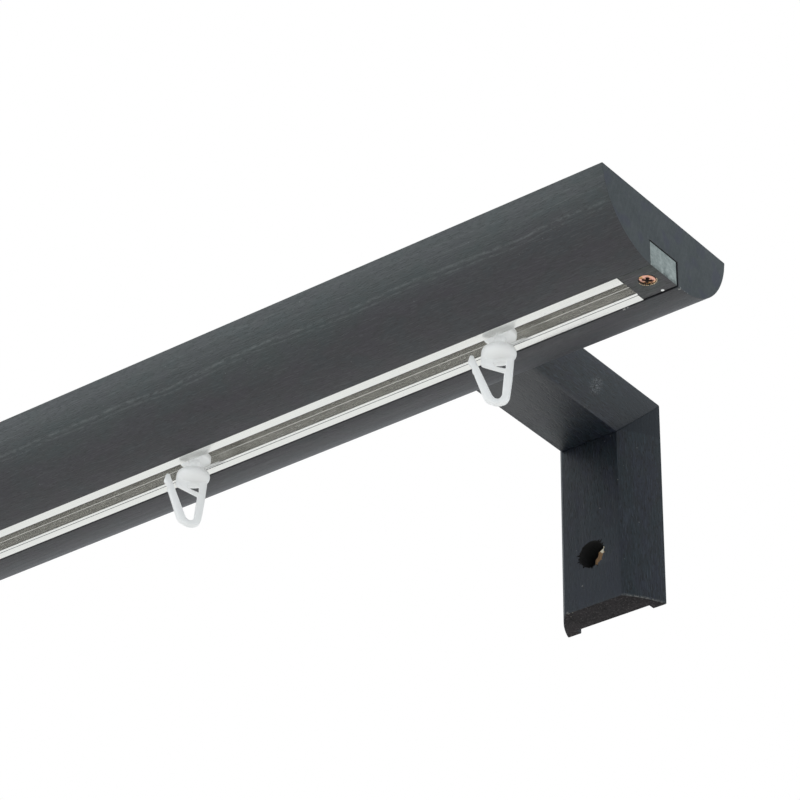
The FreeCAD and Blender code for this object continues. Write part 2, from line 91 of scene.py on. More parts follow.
# Brackets
BRACKET_HALF = 19.3 * MM
BRACKET_FACE_HALF = 10.9 * MM
BRACKET_FLANK_LEAN = math.radians(19)
BRACKET_THICK = arm_high.z - rail_high.z
BRACKET_ARRIS = 0.4 * MM
BRACKET_CREASE = 0.35 * MM
MITRE_ROUND = 1.2 * MM
MITRE_EDGE = 0.06 * MM
FOOT_ARRIS = 0.3 * MM
LEG_GROOVE_HALF = 14.1 * MM
LEG_GROOVE_DEPTH = leg_high.y
WALL_HOLE = 2.5 * MM
WALL_HEAD_HOLE = 4.75 * MM
WALL_HEAD_DEPTH = 8.0 * MM
HOLE_TEAR = 1.3 * MM
HOLE_LEDGE = 2.9 * MM
HOLE_LEDGE_ANGLE = -31.0
HOLE_LEDGE_SPAN = 46.0

# End blocks and their screws
BLOCK_EDGE = 0.2 * MM
BLOCK_BACK_FIT = 0.35 * MM
SCREW_HEAD = 2.5 * MM
SCREW_SUNK = 0.15 * MM
SCREW_NUDGE = 0.5 * MM
SCREW_SHANK = 1.3 * MM
SCREW_DOME = 0.3 * MM
SCREW_TILT = 4.0

# Gliders and hooks
HEAD_RADIUS = 5.1 * MM
HEAD_THICK = 2.3 * MM
HEAD_ROUND = 0.55 * MM
NECK_RADIUS = 1.5 * MM
BALL_RADIUS = 1.95 * MM
BALL_FIT = 0.1 * MM
BUTTON_DROP = 4.15 * MM
BUTTON_RADIUS = 5.35 * MM
BUTTON_SHIFT = 0.35 * MM
BUTTON_HALF_HEIGHT = 2.4 * MM
BUTTON_FULLNESS = 2.5
HOOK_PLATE = 1.8 * MM
HOOK_EDGE = 0.35 * MM
HOOK_TURNS = (30.0, 52.0, 12.0, 41.0, 66.0, 24.0, 47.0)
HOOK_VOXEL = 0.17 * MM


# Shapes in a plane

def softened(corners, steps=4):
    """Outline from (across, up, radius) corners, with an arc at each corner that has a radius."""
    outline = []
    count = len(corners)
    for k, (across, up, radius) in enumerate(corners):
        here = Vector((across, up))
        if radius <= 0:
            outline.append(here)
            continue
        before = Vector(corners[k - 1][:2]) - here
        after = Vector(corners[(k + 1) % count][:2]) - here
        half = before.angle(after) / 2
        reach = min(radius / math.tan(half), 0.48 * before.length, 0.48 * after.length)
        radius = reach * math.tan(half)
        before.normalize()
        after.normalize()
        centre = here + (before + after).normalized() * (radius / math.sin(half))
        start = here + before * reach - centre
        end = here + after * reach - centre
        turn = start.angle_signed(end)
        for step in range(steps + 1):
            spot = start.copy()
            spot.rotate(Matrix.Rotation(-turn * step / steps, 2))
            outline.append(centre + spot)
    return outline


def inset(outline, amount):
    """The outline moved inwards by amount at every point."""
    if amount == 0:
        return list(outline)
    count = len(outline)
    area = sum(a.x * b.y - b.x * a.y for a, b in zip(outline, outline[1:] + outline[:1]))
    sign = 1 if area > 0 else -1
    moved = []
    for k, here in enumerate(outline):
        before = (here - outline[k - 1]).normalized()
        after = (outline[(k + 1) % count] - here).normalized()
        inwards = Vector((-before.y - after.y, before.x + after.x)) * sign
        inwards.normalize()
        slant = max(0.5, inwards.dot(Vector((-before.y, before.x)) * sign))
        moved.append(here + inwards * (amount / slant))
    return moved


def flank(start_across, top, flank_width, thick, lean, side, steps=22):
    """Inner points of a bulging flank from a wide face down to a narrow one, with no corners."""
    half_turn = math.atan2(flank_width, thick) - lean
    radius = math.hypot(flank_width, thick) / (2 * math.sin(half_turn))
    spots = []
    for step in range(2, steps):
        angle = lean + 2 * half_turn * step / steps
        across = start_across + side * radius * (math.cos(lean) - math.cos(angle))
        spots.append((across, top - radius * (math.sin(angle) - math.sin(lean)), 0))
    return spots


def rounded_end(radius, steps=3):
    """(inset, setback) pairs from a flat end's face out to the full outline."""
    pairs = []
    for step in range(steps + 1):
        angle = math.pi / 2 * step / steps
        pairs.append((radius * (1 - math.sin(angle)), radius * (1 - math.cos(angle))))
    return pairs


# Meshes

def piece_from(name, points, faces, materials=()):
    mesh = bpy.data.meshes.new(name)
    mesh.from_pydata([tuple(spot) for spot in points], [], faces)
    for material in materials:
        mesh.materials.append(material)
    built = bmesh.new()
    built.from_mesh(mesh)
    bmesh.ops.recalc_face_normals(built, faces=built.faces)
    built.to_mesh(mesh)
    built.free()
    piece = bpy.data.objects.new(name, mesh)
    bpy.context.scene.collection.objects.link(piece)
    return piece


def loft(name, rings, materials=(), cap_slot=0):
    """Closed skin through equal rings, with a flat face on the first and the last."""
    count = len(rings[0])
    points = [spot for ring in rings for spot in ring]
    faces = []
    for row in range(len(rings) - 1):
        for k in range(count):
            after = (k + 1) % count
            low = row * count
            high = low + count
            faces.append((low + k, low + after, high + after, high + k))
    faces.append(tuple(range(count)))
    faces.append(tuple(range(len(points) - count, len(points))))
    piece = piece_from(name, points, faces, materials)
    for face in list(piece.data.polygons)[-2:]:
        face.material_index = cap_slot
    return piece


def turned(name, profile, materials=(), segments=64):
    """Skin of revolution about the Z axis from (radius, height) points, both ends on the axis."""
    points = [Vector((0, 0, profile[0][1])), Vector((0, 0, profile[-1][1]))]
    rings = profile[1:-1]
    for radius, height in rings:
        for k in range(segments):
            angle = 2 * math.pi * k / segments
            points.append(Vector((radius * math.cos(angle), radius * math.sin(angle), height)))
    faces = []
    last = 2 + (len(rings) - 1) * segments
    for k in range(segments):
        after = (k + 1) % segments
        faces.append((0, 2 + after, 2 + k))
        faces.append((1, last + k, last + after))
        for row in range(len(rings) - 1):
            low = 2 + row * segments
            high = low + segments
            faces.append((low + k, low + after, high + after, high + k))
    return piece_from(name, points, faces, materials)


def smooth(piece, angle=32):
    piece.data.shade_smooth()
    piece.data.set_sharp_from_angle(angle=math.radians(angle))


def apply_modifiers(piece):
    graph = bpy.context.evaluated_depsgraph_get()
    mesh = bpy.data.meshes.new_from_object(piece.evaluated_get(graph))
    piece.modifiers.clear()
    piece.data = mesh


def carve(piece, tool):
    """Cut the tool's space out of the piece. The cut faces keep the tool's own material."""
    cut = piece.modifiers.new("carve", "BOOLEAN")
    cut.operation = "DIFFERENCE"
    cut.solver = "EXACT"
    cut.material_mode = "TRANSFER"
    cut.object = tool
    apply_modifiers(piece)
    bpy.data.objects.remove(tool)


def round_edges(piece, width, segments):
    """Softened sharp edges."""
    edge = piece.modifiers.new("edge", "BEVEL")
    edge.width = width
    edge.segments = segments
    edge.limit_method = "ANGLE"
    edge.angle_limit = math.radians(60)
    apply_modifiers(piece)


def join(name, parts):
    """One object from several, which may overlap."""
    built = bmesh.new()
    for part in parts:
        copy = part.data.copy()
        copy.transform(part.matrix_world)
        built.from_mesh(copy)
        bpy.data.objects.remove(part)
    mesh = bpy.data.meshes.new(name)
    built.to_mesh(mesh)
    built.free()
    piece = bpy.data.objects.new(name, mesh)
    bpy.context.scene.collection.objects.link(piece)
    return piece


def box_tool(name, low, high, materials=()):
    points = [Vector((x, y, z)) for x in (low.x, high.x) for y in (low.y, high.y) for z in (low.z, high.z)]
    faces = [(0, 1, 3, 2), (4, 6, 7, 5), (0, 4, 5, 1), (2, 3, 7, 6), (0, 2, 6, 4), (1, 5, 7, 3)]
    return piece_from(name, points, faces, materials)


def place_piece(piece, body, slot, *nodes):
    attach(piece, body)
    if nodes:
        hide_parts(*nodes)


# Materials

class Paint:
    """A node material under construction, with short ways to add and join its nodes."""

    def __init__(self, name):
        self.material = bpy.data.materials.new(name)
        self.material.use_nodes = True
        self.tree = self.material.node_tree
        self.shader = self.tree.nodes["Principled BSDF"]
        coordinates = self.tree.nodes.new("ShaderNodeTexCoord")
        self.spot = coordinates.outputs["Object"]

    def link(self, value, socket):
        if isinstance(value, bpy.types.NodeSocket):
            self.tree.links.new(value, socket)
        else:
            socket.default_value = value

    def scaled(self, x, y, z, turn=(0, 0, 0)):
        node = self.tree.nodes.new("ShaderNodeMapping")
        node.inputs["Scale"].default_value = (x, y, z)
        node.inputs["Rotation"].default_value = [math.radians(angle) for angle in turn]
        self.tree.links.new(self.spot, node.inputs["Vector"])
        return node.outputs[0]

    def clouds(self, vector, scale=1.0, detail=3.0, rough=0.5, warp=0.0):
        node = self.tree.nodes.new("ShaderNodeTexNoise")
        node.inputs["Scale"].default_value = scale
        node.inputs["Detail"].default_value = detail
        node.inputs["Roughness"].default_value = rough
        node.inputs["Distortion"].default_value = warp
        self.tree.links.new(vector, node.inputs["Vector"])
        return node.outputs["Fac"]

    def cells(self, vector, scale=1.0, kind="F1"):
        node = self.tree.nodes.new("ShaderNodeTexVoronoi")
        node.feature = kind
        node.inputs["Scale"].default_value = scale
        self.tree.links.new(vector, node.inputs["Vector"])
        return node

    def band(self, value, low, high, out_low=0.0, out_high=1.0):
        node = self.tree.nodes.new("ShaderNodeMapRange")
        node.clamp = True
        for name, number in (
            ("From Min", low), ("From Max", high), ("To Min", out_low), ("To Max", out_high),
        ):
            node.inputs[name].default_value = number
        self.tree.links.new(value, node.inputs["Value"])
        return node.outputs["Result"]

    def maths(self, what, first, second=0.5):
        node = self.tree.nodes.new("ShaderNodeMath")
        node.operation = what
        self.link(first, node.inputs[0])
        self.link(second, node.inputs[1])
        return node.outputs[0]

    def mix(self, share, first, second, blend="MIX"):
        node = self.tree.nodes.new("ShaderNodeMix")
        node.data_type = "RGBA"
        node.blend_type = blend
        self.link(share, node.inputs["Factor"])
        for value, socket in ((first, node.inputs[6]), (second, node.inputs[7])):
            if isinstance(value, tuple):
                value = (*value, 1.0)
            self.link(value, socket)
        return node.outputs[2]

    def patch(self, centre, radius, vector=None):
        """1 at the centre, falling to 0 at the radius."""
        node = self.tree.nodes.new("ShaderNodeVectorMath")
        node.operation = "DISTANCE"
        self.tree.links.new(vector or self.spot, node.inputs[0])
        node.inputs[1].default_value = centre
        return self.band(node.outputs["Value"], 0, radius, 1, 0)

    def bump(self, height, depth, strength=1.0, under=None):
        node = self.tree.nodes.new("ShaderNodeBump")
        node.inputs["Strength"].default_value = strength
        node.inputs["Distance"].default_value = depth
        self.tree.links.new(height, node.inputs["Height"])
        if under is not None:
            self.tree.links.new(under, node.inputs["Normal"])
        return node.outputs[0]

    def finish(self, colour, rough, normal=None, constants=()):
        if isinstance(colour, tuple):
            colour = (*colour, 1.0)
        self.link(colour, self.shader.inputs["Base Color"])
        self.link(rough, self.shader.inputs["Roughness"])
        if normal is not None:
            self.tree.links.new(normal, self.shader.inputs["Normal"])
        for name, value in constants:
            self.shader.inputs[name].default_value = value
        return self.material


def along(axis, fine, coarse):
    """Scales that stretch a texture along one axis."""
    return tuple(coarse if k == axis else fine for k in range(3))


def stained_wood(name, axis, deep, pale, cold, warm, rough=0.5, wear=0.3):
    """Dark stained beech with its grain along an axis: figure, streaks, pores, blotchy stain, pale specks."""
    paint = Paint(name)
    mottle = paint.clouds(paint.scaled(*along(axis, 60, 18)), detail=2)
    blotch = paint.clouds(paint.scaled(*along(axis, 420, 240)), detail=3, rough=0.65)
    streaks = paint.clouds(paint.scaled(*along(axis, 700, 26)), detail=4, rough=0.6)
    fibres = paint.clouds(paint.scaled(*along(axis, 3300, 260)), detail=2, rough=0.7)
    pores = paint.clouds(paint.scaled(*along(axis, 2300, 520)), detail=1)
    tone = paint.maths("ADD", paint.band(mottle, 0.32, 0.68, 0, 0.2), paint.band(streaks, 0.3, 0.72, 0, 0.3))
    tone = paint.maths("ADD", tone, paint.band(blotch, 0.3, 0.7, 0, 0.2))
    colour = paint.mix(tone, deep, pale)
    tint = paint.clouds(paint.scaled(*along(axis, 190, 110)), detail=2)
    colour = paint.mix(paint.band(tint, 0.50, 0.62, 0, 0.55), colour, cold)
    colour = paint.mix(paint.band(tint, 0.50, 0.38, 0, 0.5), colour, warm)
    figure = paint.clouds(paint.scaled(*along(axis, 85, 4)), detail=1, warp=0.6)
    figure = paint.maths("PINGPONG", figure, 0.035)
    vein = paint.band(figure, 0.0, 0.003, 1, 0)
    vein_place = paint.clouds(paint.scaled(*along(axis, 90, 30)), detail=1)
    vein = paint.maths("MULTIPLY", vein, paint.band(vein_place, 0.45, 0.62, 0, 0.5))
    colour = paint.mix(vein, colour, tuple(2.0 * part for part in pale))
    hairs = paint.band(fibres, 0.5, 0.72, 0, 0.7)
    colour = paint.mix(hairs, colour, tuple(2.2 * part for part in pale))
    dark_pores = paint.band(pores, 0.55, 0.68, 0, 0.85)
    colour = paint.mix(dark_pores, colour, tuple(0.4 * part for part in deep))
    dust = paint.cells(paint.scaled(330, 330, 330))
    near_speck = paint.band(dust.outputs["Distance"], 0.045, 0.085, 1, 0)
    chosen = paint.tree.nodes.new("ShaderNodeSeparateColor")
    paint.tree.links.new(dust.outputs["Color"], chosen.inputs[0])
    speck = paint.maths("MULTIPLY", near_speck, paint.band(chosen.outputs[0], 0.72, 1.0))
    colour = paint.mix(paint.maths("MULTIPLY", speck, wear), colour, (0.36, 0.38, 0.38))
    scratch_field = paint.clouds(paint.scaled(*along(axis, 1500, 90), turn=(8, 5, 7)), detail=2, rough=0.4)
    scratch_place = paint.clouds(paint.scaled(60, 60, 60), detail=1)
    scratch = paint.maths(
        "MULTIPLY", paint.band(scratch_field, 0.70, 0.74), paint.band(scratch_place, 0.57, 0.66)
    )
    colour = paint.mix(paint.maths("MULTIPLY", scratch, 0.6 * wear), colour, (0.2, 0.21, 0.21))
    height = paint.maths("SUBTRACT", paint.maths("ADD", fibres, streaks), dark_pores)
    normal = paint.bump(height, 0.07 * MM, 0.8)
    return paint, colour, paint.band(streaks, 0.3, 0.7, rough - 0.05, rough + 0.07), normal


def chips(paint, colour, spots, tint):
    """Small torn places where pale wood shows, as (x, y, z, size) in mm."""
    ragged = paint.clouds(paint.scaled(1, 1, 1), scale=2600, detail=2)
    torn = paint.band(ragged, 0.3, 0.7, -0.35, 0.35)
    for x, y, z, size in spots:
        here = paint.maths("ADD", paint.patch((x * MM, y * MM, z * MM), size * MM), torn)
        colour = paint.mix(paint.band(here, 0.5, 0.6), colour, tint)
    return colour


def sawn_end(name, deep, pale, cell=900, rough=0.75, shine=0.3):
    """End grain: mottled, finely pitted, with faint curved growth lines."""
    paint = Paint(name)
    mottle = paint.clouds(paint.scaled(120, 120, 120), detail=4, rough=0.6)
    pits = paint.clouds(paint.scaled(cell, cell, cell), detail=3, rough=0.7)
    rings = paint.tree.nodes.new("ShaderNodeTexWave")
    rings.wave_type = "RINGS"
    rings.rings_direction = "X"
    rings.inputs["Scale"].default_value = 160
    rings.inputs["Distortion"].default_value = 3
    rings.inputs["Detail"].default_value = 2
    rings.inputs["Detail Scale"].default_value = 1.5
    paint.tree.links.new(paint.spot, rings.inputs["Vector"])
    tone = paint.maths("ADD", paint.band(mottle, 0.3, 0.7, 0, 0.45), paint.band(pits, 0.35, 0.7, 0, 0.4))
    tone = paint.maths("ADD", tone, paint.band(rings.outputs["Fac"], 0.7, 1.0, 0, 0.15))
    colour = paint.mix(tone, deep, pale)
    normal = paint.bump(pits, 0.05 * MM, 0.6)
    return paint, colour, rough, normal


FIGURE_LINES = ((31.3, 0.6, 0.5), (30.0, 0.35, 0.35), (35.4, 0.3, 0.25), (38.2, 0.25, 0.25))
RAIL_CHIPS = ((405.6, -97.7, 19.3, 0.8), (406.8, -97.6, 19.3, 0.6), (424.6, -96.8, 19.4, 0.7))
END_CHIPS = ((425, -96.6, 19.5, 0.65), (425, -94.6, 19.4, 0.6), (425, -92.9, 19.7, 0.4))
ARM_CHIPS = (
    (344.0, -41.0, 42.5, 0.35), (344.0, -38.6, 42.5, 0.3), (344.0, -29.5, 42.4, 0.35),
)
LEG_CHIPS = (
    (341.6, -11.2, 41.4, 0.4), (336.8, -11.2, 15.8, 0.4), (344.0, -11.1, 24.0, 0.35),
    (329.2, -11.2, -10.4, 0.5), (323.2, -11.2, -18.4, 0.8),
)
FOOT_CHIPS = (
    (323.4, -10.8, -18.5, 0.7), (322.9, -8.7, -18.5, 0.5), (324.9, -10.6, -18.5, 0.5),
)


def make_rail_wood():
    paint, colour, rough, normal = stained_wood(
        "rail_stain", 0, (0.006, 0.007, 0.008), (0.032, 0.034, 0.036), (0.009, 0.021, 0.025), (0.022, 0.015, 0.027)
    )
    parts = paint.tree.nodes.new("ShaderNodeSeparateXYZ")
    paint.tree.links.new(paint.spot, parts.inputs[0])
    # Partly the rail's own stain tone, partly painted light: paler and cooler higher up the rail, warmer lower
    # down, standing in for cool light from above and warm light from below.
    drift = paint.band(paint.clouds(paint.scaled(14, 60, 60), detail=2), 0.3, 0.7, -4 * MM, 4 * MM)
    height = paint.band(paint.maths("ADD", parts.outputs["Z"], drift), 25 * MM, 33 * MM)
    stain_and_light_tint = paint.mix(height, (0.026, 0.024, 0.034), (0.032, 0.048, 0.050))
    colour = paint.mix(0.42, colour, stain_and_light_tint)
    wander = paint.band(paint.clouds(paint.scaled(22, 0, 0), detail=2), 0.3, 0.7, -0.9 * MM, 0.9 * MM)
    level = paint.maths("ADD", parts.outputs["Z"], wander)
    broken = paint.clouds(paint.scaled(420, 900, 900), detail=3, rough=0.7)
    for line_height, width, strength in FIGURE_LINES:
        off = paint.maths("ABSOLUTE", paint.maths("SUBTRACT", level, line_height * MM))
        line = paint.maths("MULTIPLY", paint.band(off, 0, width * MM, strength, 0), paint.band(broken, 0.4, 0.62))
        colour = paint.mix(line, colour, (0.13, 0.145, 0.145))
    colour = chips(paint, colour, RAIL_CHIPS, (0.30, 0.31, 0.30))
    return paint.finish(colour, rough, normal, [("Specular IOR Level", 0.7)])


def make_rail_end():
    paint, colour, rough, normal = sawn_end("rail_end_grain", (0.052, 0.061, 0.066), (0.086, 0.096, 0.103))
    tint = paint.clouds(paint.scaled(160, 160, 160), detail=1)
    colour = paint.mix(paint.band(tint, 0.52, 0.66, 0, 0.5), colour, (0.058, 0.060, 0.088))
    colour = chips(paint, colour, END_CHIPS, (0.24, 0.26, 0.26))
    return paint.finish(colour, rough, normal, [("Specular IOR Level", 0.3)])


def screw_rim():
    """Places on the lower rim of the end block's screw hole where raw wood shows."""
    low, high = corners_of("right_end_block_screw")
    middle = (low + high) / 2
    spots = []
    for angle in range(20, 186, 12):
        size = 0.5 if angle < 90 else 0.38
        across = middle.x + (SCREW_HEAD + 0.3 * MM) * math.cos(math.radians(angle))
        along_y = middle.y - SCREW_NUDGE + (SCREW_HEAD + 0.3 * MM) * math.sin(math.radians(angle))
        spots.append((across / MM, along_y / MM, RAIL_BOTTOM / MM, size))
    return spots


def make_block_wood():
    paint, colour, rough, normal = stained_wood(
        "block_stain", 0, (0.010, 0.012, 0.013), (0.040, 0.042, 0.043), (0.014, 0.026, 0.022), (0.026, 0.018, 0.030)
    )
    white = paint.patch((420.35 * MM, -99.2 * MM, 19.3 * MM), 0.72 * MM)
    colour = paint.mix(paint.band(white, 0.2, 0.35), colour, (0.95, 0.95, 0.95))
    colour = chips(paint, colour, screw_rim(), (0.62, 0.48, 0.30))
    return paint.finish(colour, rough, normal, [("Specular IOR Level", 0.7)])


def make_bracket_wood(name, axis, gloss, rough, spots):
    # Darker and bluer than the rail's colours: partly the bracket's own stain, partly painted shade, as the bracket
    # sits behind and under the rail.
    deep, pale, cold, warm = (
        (0.002, 0.004, 0.007), (0.015, 0.021, 0.030), (0.004, 0.013, 0.018), (0.008, 0.009, 0.023),
    )
    paint, colour, rough, normal = stained_wood(name, axis, deep, pale, cold, warm, rough)
    parts = paint.tree.nodes.new("ShaderNodeSeparateXYZ")
    paint.tree.links.new(paint.spot, parts.inputs[0])
    # Painted light: the arm's underside paler and greyer away from the mitre, where light from below reaches it.
    under = paint.band(parts.outputs["Z"], rail_high.z + 0.9 * MM, rail_high.z + 0.2 * MM, 0, 1)
    out = paint.band(parts.outputs["Y"], -18 * MM, -48 * MM, 0, 0.75)
    colour = paint.mix(paint.maths("MULTIPLY", under, out), colour, (0.050, 0.051, 0.056))
    # Painted shade: darker near the mitre corner, above the level of the arm's underside.
    outer = paint.band(parts.outputs["Z"], rail_high.z + 0.4 * MM, rail_high.z + 0.9 * MM, 0, 1)
    near_mitre = paint.band(parts.outputs["Y"], -26 * MM, -6 * MM, 0, 0.9)
    colour = paint.mix(paint.maths("MULTIPLY", outer, near_mitre), colour, (0.002, 0.006, 0.012))
    # Painted light: the leg's front face paler towards the foot, where the rail and arm shade it less.
    foot = paint.band(parts.outputs["Z"], 20 * MM, -8 * MM, 0, 0.55)
    facing = paint.band(parts.outputs["Y"], leg_low.y + 0.3 * MM, leg_low.y + 0.1 * MM, 0, 1)
    colour = paint.mix(paint.maths("MULTIPLY", foot, facing), colour, (0.030, 0.036, 0.047))
    worn = paint.band(parts.outputs["Z"], leg_low.z + 0.75 * MM, leg_low.z + 0.1 * MM, 0, 1)
    flank_side = paint.band(paint.maths("ABSOLUTE", parts.outputs["X"]), BRACKET_X + 10 * MM, BRACKET_X + 12 * MM)
    rubbed = paint.band(paint.clouds(paint.scaled(1300, 1300, 1300), detail=2), 0.36, 0.6, 0, 0.85)
    worn = paint.maths("MULTIPLY", paint.maths("MULTIPLY", worn, flank_side), rubbed)
    colour = paint.mix(worn, colour, (0.15, 0.15, 0.145))
    colour = chips(paint, colour, spots, (0.12, 0.12, 0.12))
    scuffed = paint.patch((0.3488, -0.0296, 0.0490), 4.2 * MM)
    grit = paint.clouds(paint.scaled(2600, 2600, 2600), detail=1)
    scuff = paint.maths("MULTIPLY", paint.band(scuffed, 0.1, 0.6), paint.band(grit, 0.52, 0.64))
    colour = paint.mix(paint.maths("MULTIPLY", scuff, 0.8), colour, (0.16, 0.17, 0.18))
    return paint.finish(colour, rough, normal, [("Specular IOR Level", gloss)])


def make_bracket_end():
    paint, colour, rough, normal = sawn_end("bracket_end_grain", (0.001, 0.001, 0.001), (0.036, 0.031, 0.034))
    dust = paint.cells(paint.scaled(950, 950, 950))
    colour = paint.mix(paint.band(dust.outputs["Distance"], 0.1, 0.3, 0.75, 0), colour, (0.085, 0.078, 0.080))
    fine = paint.cells(paint.scaled(2100, 2100, 2100))
    colour = paint.mix(paint.band(fine.outputs["Distance"], 0.15, 0.45, 0.5, 0), colour, (0.07, 0.065, 0.068))
    colour = chips(paint, colour, FOOT_CHIPS, (0.15, 0.14, 0.12))
    return paint.finish(colour, rough, normal, [("Specular IOR Level", 0.14)])


def make_bored_wood():
    """Inside of the screw holes: almost black as painted shade, with raw wood on the ledge by the mouth and a pale
    painted highlight on the raw wood there.
    """
    paint = Paint("bored_wood")
    grain = paint.clouds(paint.scaled(1500, 1500, 420), detail=3)
    ragged = paint.band(paint.clouds(paint.scaled(1300, 1300, 1300), detail=2), 0.3, 0.7, -0.15, 0.15)
    parts = paint.tree.nodes.new("ShaderNodeSeparateXYZ")
    paint.tree.links.new(paint.spot, parts.inputs[0])
    mirrored = paint.tree.nodes.new("ShaderNodeCombineXYZ")
    paint.tree.links.new(paint.maths("ABSOLUTE", parts.outputs["X"]), mirrored.inputs["X"])
    paint.tree.links.new(parts.outputs["Y"], mirrored.inputs["Y"])
    paint.tree.links.new(parts.outputs["Z"], mirrored.inputs["Z"])
    either = mirrored.outputs[0]
    face = leg_low.y
    ledge = paint.patch((BRACKET_X + 3.2 * MM, face + 0.5 * MM, -2.1 * MM), 4.8 * MM, either)
    # Pale painted highlight on the raw wood by the mouth.
    highlight_patch = paint.patch((BRACKET_X + 4.2 * MM, face + 0.3 * MM, 0.3 * MM), 1.9 * MM, either)
    golden = paint.mix(grain, (0.09, 0.045, 0.012), (0.27, 0.155, 0.07))
    pale = paint.mix(grain, (0.42, 0.38, 0.27), (0.80, 0.74, 0.60))
    # Almost black as painted shade, with golden raw wood on the ledge.
    colour = paint.mix(paint.band(paint.maths("ADD", ledge, ragged), 0.38, 0.46), (0.008, 0.008, 0.008), golden)
    colour = paint.mix(paint.band(paint.maths("ADD", highlight_patch, ragged), 0.3, 0.45), colour, pale)
    return paint.finish(colour, 0.8, paint.bump(grain, 0.1 * MM))


def make_block_end():
    paint = Paint("block_sawn_end")
    saw = paint.clouds(paint.scaled(700, 620, 2200), detail=4, rough=0.7)
    mottle = paint.clouds(paint.scaled(520, 520, 420), detail=4, rough=0.65)
    broad = paint.clouds(paint.scaled(150, 150, 150), detail=1)
    tone = paint.maths("ADD", paint.band(saw, 0.3, 0.7, 0, 0.4), paint.band(mottle, 0.3, 0.7, 0, 0.45))
    tone = paint.maths("ADD", tone, paint.band(broad, 0.35, 0.65, 0, 0.2))
    colour = paint.mix(tone, (0.13, 0.16, 0.16), (0.44, 0.49, 0.48))
    parts = paint.tree.nodes.new("ShaderNodeSeparateXYZ")
    paint.tree.links.new(paint.spot, parts.inputs[0])
    # Darker towards the bottom edge of the sawn end, in a ragged band.
    edge_wobble = paint.band(mottle, 0.3, 0.7, -0.9 * MM, 0.9 * MM)
    darker_lower_band = paint.band(
        paint.maths("ADD", parts.outputs["Z"], edge_wobble), RAIL_BOTTOM + 1.3 * MM, RAIL_BOTTOM - 0.1 * MM, 0, 0.75,
    )
    colour = paint.mix(darker_lower_band, colour, (0.075, 0.088, 0.088))
    return paint.finish(colour, 0.85, paint.bump(saw, 0.07 * MM), [("Specular IOR Level", 0.25)])


def make_aluminium():
    """Extruded aluminium: long fine die lines, satin, with a faint warm cast, painted shade inside the channel and
    a painted highlight along the back lip.
    """
    paint = Paint("satin_aluminium")
    lines = paint.clouds(paint.scaled(3, 5200, 5200), detail=3, rough=0.7)
    broad = paint.clouds(paint.scaled(5, 300, 300), detail=2)
    scuffs = paint.clouds(paint.scaled(240, 900, 900), detail=4, rough=0.7)
    tone = paint.maths("ADD", paint.band(lines, 0.3, 0.7, 0, 0.6), paint.band(broad, 0.3, 0.7, 0, 0.4))
    colour = paint.mix(tone, (0.79, 0.79, 0.77), (0.90, 0.90, 0.885))
    parts = paint.tree.nodes.new("ShaderNodeSeparateXYZ")
    paint.tree.links.new(paint.spot, parts.inputs[0])
    up = parts.outputs["Z"]
    lower = RAIL_BOTTOM + 1.3 * MM
    upper = RAIL_BOTTOM + TRACK_LEDGE_HEIGHT
    # Painted shade: faintly darker and warmer inside the channel, above the flanges.
    inside = paint.band(up, lower - 0.1 * MM, lower + 0.1 * MM, 0, 1)
    colour = paint.mix(inside, colour, (0.99, 0.985, 0.975), "MULTIPLY")
    # Painted shade: darker on the upper wall, towards the channel's ceiling.
    high_wall = paint.band(up, upper - 0.1 * MM, upper + 0.1 * MM, 0, 1)
    colour = paint.mix(high_wall, colour, (0.81, 0.805, 0.80), "MULTIPLY")
    # Painted highlight: a bright line on the back lip's sloped face by the slot.
    off = paint.maths("ABSOLUTE", paint.maths("SUBTRACT", parts.outputs["Y"], TRACK_Y + SLOT_HALF + LIP_WIDTH / 2))
    lip_highlight = paint.band(off, LIP_WIDTH / 2 + 0.05 * MM, LIP_WIDTH / 2, 0, 1)
    below = paint.band(up, RAIL_BOTTOM + LIP_WIDTH + 0.05 * MM, RAIL_BOTTOM + LIP_WIDTH, 0, 1)
    colour = paint.mix(paint.maths("MULTIPLY", lip_highlight, below), colour, (0.985, 0.985, 0.98))
    rough = paint.maths("ADD", paint.band(lines, 0.3, 0.7, 0.16, 0.24), paint.band(scuffs, 0.55, 0.7, 0, 0.1))
    return paint.finish(colour, rough, paint.bump(lines, 0.006 * MM, 0.5), [("Metallic", 1.0)])


def make_track_groove():
    """Painted shade in the fine groove of the track's flange."""
    paint = Paint("track_groove")
    groove_shade = paint.clouds(paint.scaled(60, 2600, 2600), detail=2)
    colour = paint.mix(groove_shade, (0.05, 0.05, 0.048), (0.16, 0.155, 0.15))
    return paint.finish(colour, 0.7, paint.bump(groove_shade, 0.02 * MM))


def make_copper():
    """Coppery screw finish, worn to yellow metal in places and stained dark in others."""
    paint = Paint("copper_finish")
    worn = paint.clouds(paint.scaled(330, 330, 330), detail=2)
    stain_and_light_tint = paint.clouds(paint.scaled(900, 900, 900), detail=3)
    colour = paint.mix(paint.band(worn, 0.5, 0.62), (0.82, 0.44, 0.35), (0.72, 0.42, 0.14))
    colour = paint.mix(paint.band(stain_and_light_tint, 0.5, 0.6, 0, 0.85), colour, (0.13, 0.035, 0.02))
    rough = paint.band(stain_and_light_tint, 0.3, 0.7, 0.18, 0.4)
    return paint.finish(colour, rough, paint.bump(stain_and_light_tint, 0.04 * MM, 0.6), [("Metallic", 1.0)])


def make_screw_recess():
    """Near-black, mottled colour in the screw's cross recess."""
    paint = Paint("screw_recess")
    scale = paint.clouds(paint.scaled(1800, 1800, 1800), detail=2)
    colour = paint.mix(scale, (0.010, 0.006, 0.004), (0.05, 0.025, 0.015))
    return paint.finish(colour, 0.6, paint.bump(scale, 0.03 * MM))


